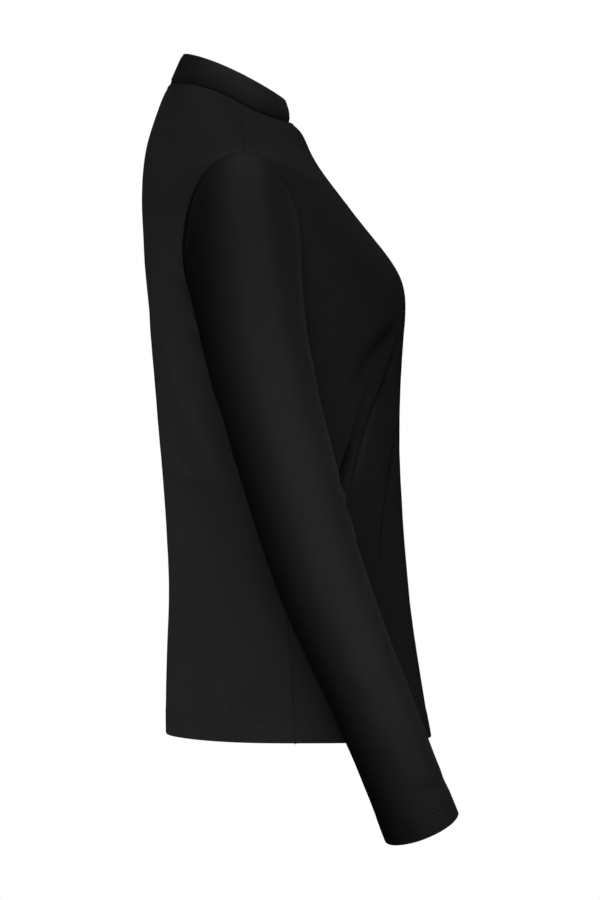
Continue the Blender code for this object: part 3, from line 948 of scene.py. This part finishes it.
def hem_stitches(sizes):
    """Twin-needle stitches all round the hem."""
    mesh = bmesh.new()
    for rise in needle_lines(sizes):
        level = HEM_LEVEL + rise
        ring = body_ring(level)
        points = []
        outs = []
        turn = -180.0
        while turn < 180.0:
            in_front = abs(turn) <= 90
            point = ring_point(ring, turn, in_front)
            out = outward(body_ring, level, turn)
            points.append(point + out * body_shift(point, level, turn, sizes))
            outs.append(out)
            near = (ring_point(ring, turn + 0.4, in_front) - ring_point(ring, turn, in_front)).length
            turn += sizes.stitch_length * 0.4 / max(near, 0.0004)
        points.append(points[0])
        stitch_line(mesh, points, outs, sizes)
    return mesh


def cuff_stitches(side, sizes):
    """Twin-needle stitches round one cuff."""
    mesh = bmesh.new()
    for rise in needle_lines(sizes):
        drop = CUFF_DROP - rise
        way = 1 + drop - BICEPS_DROP
        count = round(360 * SLEEVE_METRES_PER_DEGREE * CUFF_ROUND / sizes.stitch_length)
        points = []
        outs = []
        for index in range(count + 1):
            around = 360 * index / count
            point = sleeve_point(around, way)
            out = sleeve_outward(around, way)
            shift = sleeve_shift(point, around, side, rise, sizes)
            points.append(mirrored(point + out * shift, side))
            outs.append(mirrored(out, side))
        stitch_line(mesh, points, outs, sizes)
    return mesh


def plain_piece(name, mesh, material):
    """A smooth object of a bmesh, which is freed."""
    data = bpy.data.meshes.new(name)
    mesh.to_mesh(data)
    mesh.free()
    data.shade_smooth()
    data.materials.append(material)
    piece = bpy.data.objects.new(name, data)
    bpy.context.scene.collection.objects.link(piece)
    return piece


# ---------------------------------------------------------------------------------------------
# Materials. Patterns read the sheet's own UVs, which are in metres, or Object coordinates.

class Field:
    """A shader socket that Python's operators turn into Math nodes."""

    def __init__(self, shader, socket):
        self.shader = shader
        self.socket = socket

    def __add__(self, other):
        return self.shader.maths("ADD", self, other)

    def __radd__(self, other):
        return self.shader.maths("ADD", other, self)

    def __sub__(self, other):
        return self.shader.maths("SUBTRACT", self, other)

    def __mul__(self, other):
        return self.shader.maths("MULTIPLY", self, other)

    def __truediv__(self, other):
        return self.shader.maths("DIVIDE", self, other)


class Shader:
    """The node tree of one material."""

    def __init__(self, name):
        self.material = bpy.data.materials.new(name)
        self.material.use_nodes = True
        self.tree = self.material.node_tree
        self.principled = self.tree.nodes["Principled BSDF"]

    def node(self, kind, settings=(), sockets=()):
        """A new node: its settings are set first, then its sockets' values or links."""
        node = self.tree.nodes.new(kind)
        for name, value in dict(settings).items():
            setattr(node, name, value)
        for name, value in dict(sockets).items():
            self.feed(node.inputs[name], value)
        return node

    def feed(self, target, value):
        if isinstance(value, Field):
            self.tree.links.new(value.socket, target)
        else:
            target.default_value = value

    def field(self, node, output):
        return Field(self, node.outputs[output])

    def maths(self, operation, *values):
        node = self.node("ShaderNodeMath", {"operation": operation}, dict(enumerate(values)))
        return self.field(node, 0)

    def noise(self, scale, detail=2.0, place=None):
        sockets = {"Scale": scale, "Detail": detail, "Roughness": 0.55}
        if place is not None:
            sockets["Vector"] = place
        return self.field(self.node("ShaderNodeTexNoise", {}, sockets), "Fac")

    def colours(self, share, low, high):
        node = self.node(
            "ShaderNodeMix", {"data_type": "RGBA"}, {0: share, 6: (*low, 1), 7: (*high, 1)}
        )
        return self.field(node, 2)


def jersey(name, cloth, knit):
    """Smooth black jersey: fine upright wales of V-shaped loops, a short nap and a soft sheen."""
    shader = Shader(name)
    place = shader.field(shader.node("ShaderNodeTexCoord"), "Object")
    metres = shader.field(shader.node("ShaderNodeUVMap", {"uv_map": "cloth"}), "UV")
    split = shader.node("ShaderNodeSeparateXYZ", {}, {"Vector": metres})
    across = shader.field(split, "X") / knit.wale
    rise = shader.field(split, "Y") / knit.course

    # Two legs lean together in each wale, and each course of loops beads them.
    leg_place = shader.maths("ABSOLUTE", shader.maths("FRACT", across) - 0.5)
    leg = shader.maths("COSINE", (leg_place - 0.25) * (4 * math.pi)) * 0.5 + 0.5
    bead = shader.maths("COSINE", (rise + leg_place * knit.lean) * (2 * math.pi)) * 0.5 + 0.5
    loops = leg * (bead * 0.45 + 0.55)

    nap = shader.noise(1900.0, 2.0, place)
    streaks = shader.noise(160.0, 3.0, place)
    clouds = shader.noise(11.0, 2.0, place)

    height = loops * knit.relief + nap * knit.nap + streaks * (knit.nap * 1.5)
    bump = shader.node("ShaderNodeBump", {}, {"Height": height, "Distance": 1.0, "Strength": 0.7})
    low = [value * 0.80 for value in cloth.colour]
    high = [value * 1.30 for value in cloth.colour]
    # The colour mixes the yarn's uneven tone, from the clouds and streaks, with painted shade: it is a little
    # darker between the knit's loops, where their relief is low.
    tone_and_loop_shade = clouds * 0.5 + streaks * 0.25 + loops * 0.25
    principled = shader.principled
    shader.feed(principled.inputs["Base Color"], shader.colours(tone_and_loop_shade, low, high))
    roughness = cloth.roughness + (streaks - 0.5) * 0.10 + (clouds - 0.5) * 0.08
    shader.feed(principled.inputs["Roughness"], roughness)
    shader.feed(principled.inputs["Normal"], shader.field(bump, "Normal"))
    principled.inputs["Specular IOR Level"].default_value = cloth.gloss
    principled.inputs["Sheen Weight"].default_value = cloth.sheen
    principled.inputs["Sheen Roughness"].default_value = cloth.sheen_roughness
    return shader.material


def thread(name, cloth):
    """Spun sewing thread, a touch glossier than the cloth."""
    shader = Shader(name)
    place = shader.field(shader.node("ShaderNodeTexCoord"), "Object")
    twist = shader.noise(2600.0, 1.0, place)
    bump = shader.node("ShaderNodeBump", {}, {"Height": twist * 0.00004, "Distance": 1.0, "Strength": 0.6})
    low = [value * 0.85 for value in cloth.colour]
    high = [value * 1.25 for value in cloth.colour]
    principled = shader.principled
    shader.feed(principled.inputs["Base Color"], shader.colours(twist, low, high))
    shader.feed(principled.inputs["Roughness"], 0.42 + twist * 0.12)
    shader.feed(principled.inputs["Normal"], shader.field(bump, "Normal"))
    principled.inputs["Specular IOR Level"].default_value = 0.2
    return shader.material


# ---------------------------------------------------------------------------------------------
# The add-on.

class MockNeckCloth(bpy.types.PropertyGroup):
    """The jersey and how it is sewn."""
    thickness: FloatProperty(
        name="Thickness", description="Thickness of one layer of jersey",
        default=0.0009, min=0.0003, max=0.003, unit="LENGTH")
    fold_radius: FloatProperty(
        name="Fold radius", description="Radius of the fold at the hem and the cuffs",
        default=0.00096, min=0.0004, max=0.003, unit="LENGTH")
    collar_radius: FloatProperty(
        name="Collar fold radius", description="Radius of the fold at the collar's top edge",
        default=0.0012, min=0.0004, max=0.003, unit="LENGTH")
    hem_depth: FloatProperty(
        name="Hem depth", description="Height of the cloth turned up inside a hem",
        default=0.020, min=0.01, max=0.05, unit="LENGTH")
    hem_margin: FloatProperty(
        name="Hem margin", description="From the upper line of stitches to the raw edge inside",
        default=0.0012, min=0.0, max=0.01, unit="LENGTH")
    needle_gauge: FloatProperty(
        name="Needle gauge", description="Between the two lines of stitches",
        default=0.0032, min=0.0016, max=0.0064, unit="LENGTH")
    stitch_length: FloatProperty(
        name="Stitch length", description="Length of one stitch",
        default=0.0030, min=0.0015, max=0.006, unit="LENGTH")
    stitch_width: FloatProperty(
        name="Thread width", description="Width of the sewing thread",
        default=0.00050, min=0.0002, max=0.001, unit="LENGTH")
    stitch_sink: FloatProperty(
        name="Stitch sink", description="How far a line of stitches draws the cloth in",
        default=0.00035, min=0.0, max=0.001, unit="LENGTH")
    hem_pucker: FloatProperty(
        name="Hem pucker", description="Height of the small waves along a hem",
        default=0.00045, min=0.0, max=0.003, unit="LENGTH")
    hem_ease: FloatProperty(
        name="Hem ease", description="How far the doubled hem stands out from the single cloth",
        default=0.00045, min=0.0, max=0.003, unit="LENGTH")
    colour: FloatVectorProperty(
        name="Colour", description="Colour of the jersey", subtype="COLOR",
        default=(0.0100, 0.0100, 0.0100), min=0.0, max=1.0)
    roughness: FloatProperty(
        name="Roughness", description="Roughness of the jersey", default=0.60, min=0.0, max=1.0)
    gloss: FloatProperty(
        name="Gloss", description="Strength of the jersey's highlights", default=0.12, min=0.0, max=1.0)
    sheen: FloatProperty(
        name="Sheen", description="Strength of the nap's sheen", default=0.02, min=0.0, max=1.0)
    sheen_roughness: FloatProperty(
        name="Sheen roughness", description="Spread of the nap's sheen", default=0.45, min=0.0, max=1.0)


class MockNeckKnit(bpy.types.PropertyGroup):
    """The single jersey knit."""
    wale: FloatProperty(
        name="Wale", description="Width of one upright column of loops",
        default=0.00075, min=0.0003, max=0.005, unit="LENGTH")
    course: FloatProperty(
        name="Course", description="Height of one row of loops",
        default=0.00060, min=0.0003, max=0.005, unit="LENGTH")
    lean: FloatProperty(
        name="Lean", description="How steeply the legs of a loop lean", default=1.3, min=0.0, max=4.0)
    relief: FloatProperty(
        name="Relief", description="Height of the loops",
        default=0.00007, min=0.0, max=0.001, unit="LENGTH")
    nap: FloatProperty(
        name="Nap", description="Height of the short nap",
        default=0.00004, min=0.0, max=0.001, unit="LENGTH")


class MockNeckStudio(bpy.types.PropertyGroup):
    """The camera and the lights."""
    distance: FloatProperty(
        name="Camera distance", description="From the camera to the middle of the top",
        default=5.0, min=1.0, max=20.0, unit="LENGTH")
    focal_length: FloatProperty(
        name="Focal length", description="Focal length of the lens", default=215.05, min=20.0, max=400.0,
        unit="CAMERA")
    room: FloatProperty(
        name="Room", description="Brightness of the white room around the top", default=0.004, min=0.0)
    floor_light: FloatProperty(
        name="Floor light", description="Strength of the light on the floor", default=2.6, min=0.0)
    floor_level: FloatProperty(
        name="Floor level", description="Height of the floor, below a wearer's feet",
        default=-1.45, unit="LENGTH")


# What each sheet is cut from: its flat size and its area. The collar is the whole strip.
FRONT_CUT = ((0.520, 0.650), 0.280)
BACK_CUT = ((0.480, 0.650), 0.262)
SLEEVE_CUT = ((0.320, 0.660), 0.158)
COLLAR_CUT = ((0.380, 0.068), None)


def dress(piece, node, flat, area):
    """Puts a sheet in place of its solid."""
    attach(piece, "root")
    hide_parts(node)


class FrontPanel(bpy.types.Operator):
    """Makes the front."""
    bl_idname = "mock_neck.front"
    bl_label = "Front"

    def execute(self, context):
        sizes = context.scene.mock_neck_cloth
        material = jersey("front_jersey", sizes, context.scene.mock_neck_knit)
        mesh = panel_sheet(True, HALF_COLUMNS_FRONT, sizes)
        dress(cloth_piece("front_panel", mesh, sizes.thickness, material), "front", *FRONT_CUT)
        return {"FINISHED"}


class BackPanel(bpy.types.Operator):
    """Makes the back."""
    bl_idname = "mock_neck.back"
    bl_label = "Back"

    def execute(self, context):
        sizes = context.scene.mock_neck_cloth
        material = jersey("back_jersey", sizes, context.scene.mock_neck_knit)
        mesh = panel_sheet(False, HALF_COLUMNS_BACK, sizes)
        dress(cloth_piece("back_panel", mesh, sizes.thickness, material), "back", *BACK_CUT)
        return {"FINISHED"}


class Sleeves(bpy.types.Operator):
    """Makes the two sleeves."""
    bl_idname = "mock_neck.sleeves"
    bl_label = "Sleeves"

    def execute(self, context):
        sizes = context.scene.mock_neck_cloth
        material = jersey("sleeve_jersey", sizes, context.scene.mock_neck_knit)
        for name, node, side in (("left_sleeve", "sleeve_left", 1), ("right_sleeve", "sleeve_right", -1)):
            piece = cloth_piece(name, sleeve_sheet(side, sizes), sizes.thickness, material)
            dress(piece, node, *SLEEVE_CUT)
        return {"FINISHED"}


class Collar(bpy.types.Operator):
    """Makes the folded stand collar."""
    bl_idname = "mock_neck.collar"
    bl_label = "Collar"

    def execute(self, context):
        sizes = context.scene.mock_neck_cloth
        material = jersey("collar_jersey", sizes, context.scene.mock_neck_knit)
        piece = cloth_piece("collar_band", collar_sheet(sizes), sizes.thickness, material)
        dress(piece, "collar", *COLLAR_CUT)
        return {"FINISHED"}


class Stitches(bpy.types.Operator):
    """Sews the hem and the cuffs."""
    bl_idname = "mock_neck.stitches"
    bl_label = "Stitches"

    def execute(self, context):
        sizes = context.scene.mock_neck_cloth
        material = thread("black_thread", sizes)
        pieces = (
            ("hem_stitches", hem_stitches(sizes)),
            ("left_cuff_stitches", cuff_stitches(1, sizes)),
            ("right_cuff_stitches", cuff_stitches(-1, sizes)),
        )
        for name, mesh in pieces:
            piece = plain_piece(name, mesh, material)
            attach(piece, "root")
        return {"FINISHED"}


# Soft lights: the way round from the camera's side towards the front, the way up, distance, size
# and power, then the pieces that they light, or none where they light everything, and their aim.
# Most were picked, and got their first powers, by a least-squares program that fitted lights to the
# greys of the photo from its side. body_back, body_shoulder, body_shoulder_top, body_hem, sleeve_cuff,
# collar_front and collar_key still have its powers. The others were then moved or added.
MIDDLE = Vector((0.0, -0.0542, -0.3185))   # what the middle of the picture shows
SHOULDER = Vector((-0.20, -0.02, -0.12))
ELBOW = Vector((-0.23, -0.05, -0.33))
FOREARM = Vector((-0.22, -0.13, -0.53))
CUFF = Vector((-0.19, -0.16, -0.64))
HIP = Vector((-0.12, 0.05, -0.52))
BODY_CLOTH = ("front_panel", "back_panel", "hem_stitches")
SLEEVE_CLOTH = ("left_sleeve", "right_sleeve", "left_cuff_stitches", "right_cuff_stitches")
COLLAR_CLOTH = ("collar_band",)
Light = namedtuple("Light", "name around up distance size power pieces aim")
LIGHTS = (
    Light("body_key", 0, 45, 4.0, 1.2, 22.0, BODY_CLOTH, MIDDLE),
    Light("body_high", -30, 45, 4.0, 1.2, 40.0, BODY_CLOTH, MIDDLE),
    Light("body_top", 10, 80, 4.0, 1.2, 16.0, BODY_CLOTH, MIDDLE),
    Light("body_front", 80, -15, 4.0, 1.2, 26.0, BODY_CLOTH, MIDDLE),
    Light("body_back", -120, -15, 4.0, 1.2, 11.7, BODY_CLOTH, MIDDLE),
    Light("body_shoulder", 0, 0, 0.5, 0.2, 0.6, BODY_CLOTH, SHOULDER),
    Light("body_shoulder_top", 0, 70, 0.5, 0.2, 0.5, BODY_CLOTH, SHOULDER),
    Light("body_hip", -60, 0, 0.6, 0.2, 1.2, BODY_CLOTH, HIP),
    Light("body_hem", 0, 0, 0.5, 0.2, 0.9, BODY_CLOTH, CUFF),
    Light("sleeve_high", -20, 45, 4.0, 1.2, 14.0, SLEEVE_CLOTH, MIDDLE),
    Light("sleeve_low", -30, -15, 4.0, 1.2, 8.0, SLEEVE_CLOTH, MIDDLE),
    Light("sleeve_top", 0, 80, 4.0, 1.2, 60.0, SLEEVE_CLOTH, MIDDLE),
    Light("sleeve_shoulder", 16, 0, 0.5, 0.2, 0.72, SLEEVE_CLOTH, SHOULDER),
    Light("sleeve_elbow", 14, 0, 0.5, 0.2, 0.50, SLEEVE_CLOTH, ELBOW),
    Light("sleeve_forearm", 40, 0, 0.5, 0.2, 1.1, SLEEVE_CLOTH, FOREARM),
    Light("sleeve_cuff", 0, 0, 0.5, 0.2, 0.2, SLEEVE_CLOTH, CUFF),
    Light("collar_front", 60, 45, 4.0, 1.2, 59.0, COLLAR_CLOTH, MIDDLE),
    Light("collar_back", -30, 45, 4.0, 1.2, 30.0, COLLAR_CLOTH, MIDDLE),
    Light("collar_top", 0, 80, 4.0, 1.2, 55.0, COLLAR_CLOTH, MIDDLE),
    Light("collar_key", 0, 0, 0.5, 0.2, 1.8, COLLAR_CLOTH, ELBOW),
    Light("far_side", 180, 0, 4.0, 1.2, 110.0, (), MIDDLE),
)


def piece_collection(name, pieces):
    """A collection for light linking, outside the scene."""
    collection = bpy.data.collections.new(name)
    for piece in pieces:
        collection.objects.link(bpy.data.objects[piece])
    return collection


def soft_light(light, cloth):
    """A square soft light that points at its aim. Only the cloth throws shadows in it."""
    data = bpy.data.lights.new(light.name, "AREA")
    data.shape = "SQUARE"
    data.size = light.size
    data.energy = light.power
    around = math.radians(light.around)
    up = math.radians(light.up)
    away = Vector((-math.cos(around) * math.cos(up), -math.sin(around) * math.cos(up), math.sin(up)))
    lamp = bpy.data.objects.new(light.name, data)
    lamp.location = light.aim + away * light.distance
    lamp.rotation_euler = (-away).to_track_quat("-Z", "Y").to_euler()
    lamp.visible_camera = False
    bpy.context.scene.collection.objects.link(lamp)
    lamp.light_linking.blocker_collection = cloth
    lamp.visible_glossy = bool(light.pieces)
    if light.pieces:
        lamp.light_linking.receiver_collection = piece_collection(light.name + "_lights", light.pieces)


def white_room(studio):
    """A white backdrop for the camera, which lights the top more softly than it looks."""
    world = bpy.data.worlds.new("white_room")
    world.use_nodes = True
    nodes = world.node_tree.nodes
    background = nodes["Background"]
    background.inputs["Color"].default_value = (1, 1, 1, 1)
    path = nodes.new("ShaderNodeLightPath")
    strength = nodes.new("ShaderNodeMapRange")
    strength.inputs["To Min"].default_value = studio.room
    strength.inputs["To Max"].default_value = 1.0
    world.node_tree.links.new(path.outputs["Is Camera Ray"], strength.inputs["Value"])
    world.node_tree.links.new(strength.outputs["Result"], background.inputs["Strength"])
    bpy.context.scene.world = world


class Studio(bpy.types.Operator):
    """Sets the floor, the lights and the camera."""
    bl_idname = "mock_neck.studio"
    bl_label = "Studio"

    def execute(self, context):
        scene = context.scene
        studio = scene.mock_neck_studio
        floor_mesh = bmesh.new()
        bmesh.ops.create_circle(
            floor_mesh, cap_ends=True, segments=96, radius=6.0,
            matrix=Matrix.Translation((0, 0, studio.floor_level)))
        floor_shader = Shader("pale_floor")
        floor_shader.principled.inputs["Base Color"].default_value = (0.9, 0.9, 0.9, 1)
        floor_shader.principled.inputs["Roughness"].default_value = 0.8
        floor = plain_piece("floor", floor_mesh, floor_shader.material)
        floor.visible_diffuse = False
        floor.visible_glossy = False

        white_room(studio)
        cloth = piece_collection("cloth", BODY_CLOTH + SLEEVE_CLOTH + COLLAR_CLOTH)
        for light in LIGHTS:
            soft_light(light, cloth)
        data = bpy.data.lights.new("floor_light", "SUN")
        data.energy = studio.floor_light
        data.angle = math.radians(40)
        lamp = bpy.data.objects.new("floor_light", data)
        scene.collection.objects.link(lamp)
        lamp.light_linking.receiver_collection = piece_collection("floor_lights", ("floor",))

        data = bpy.data.cameras.new("camera")
        data.lens = studio.focal_length
        data.clip_end = 100
        camera = bpy.data.objects.new("camera", data)
        camera.location = MIDDLE - Vector((studio.distance, 0, 0))
        camera.rotation_euler = (math.radians(90), 0, math.radians(-90))
        scene.collection.objects.link(camera)
        scene.camera = camera
        scene.view_settings.view_transform = "Standard"
        return {"FINISHED"}


class MockNeckPanel(bpy.types.Panel):
    """The steps that make the top."""
    bl_idname = "VIEW3D_PT_mock_neck"
    bl_label = "Mock Neck Top"
    bl_space_type = "VIEW_3D"
    bl_region_type = "UI"
    bl_category = "Mock Neck Top"

    def draw(self, context):
        for step in STEPS:
            self.layout.operator(step.bl_idname)
        scene = context.scene
        for group in (scene.mock_neck_cloth, scene.mock_neck_knit, scene.mock_neck_studio):
            box = self.layout.box()
            for name in group.__annotations__:
                box.prop(group, name)


STEPS = (FrontPanel, BackPanel, Sleeves, Collar, Stitches, Studio)
CLASSES = (MockNeckCloth, MockNeckKnit, MockNeckStudio, *STEPS, MockNeckPanel)


def register():
    for each in CLASSES:
        bpy.utils.register_class(each)
    bpy.types.Scene.mock_neck_cloth = PointerProperty(type=MockNeckCloth)
    bpy.types.Scene.mock_neck_knit = PointerProperty(type=MockNeckKnit)
    bpy.types.Scene.mock_neck_studio = PointerProperty(type=MockNeckStudio)


def unregister():
    del bpy.types.Scene.mock_neck_studio
    del bpy.types.Scene.mock_neck_knit
    del bpy.types.Scene.mock_neck_cloth
    for each in reversed(CLASSES):
        bpy.utils.unregister_class(each)


def main():
    register()
    bpy.ops.mock_neck.front()
    bpy.ops.mock_neck.back()
    bpy.ops.mock_neck.sleeves()
    bpy.ops.mock_neck.collar()
    bpy.ops.mock_neck.stitches()
    bpy.ops.mock_neck.studio()


if __name__ == "__main__":
    main()
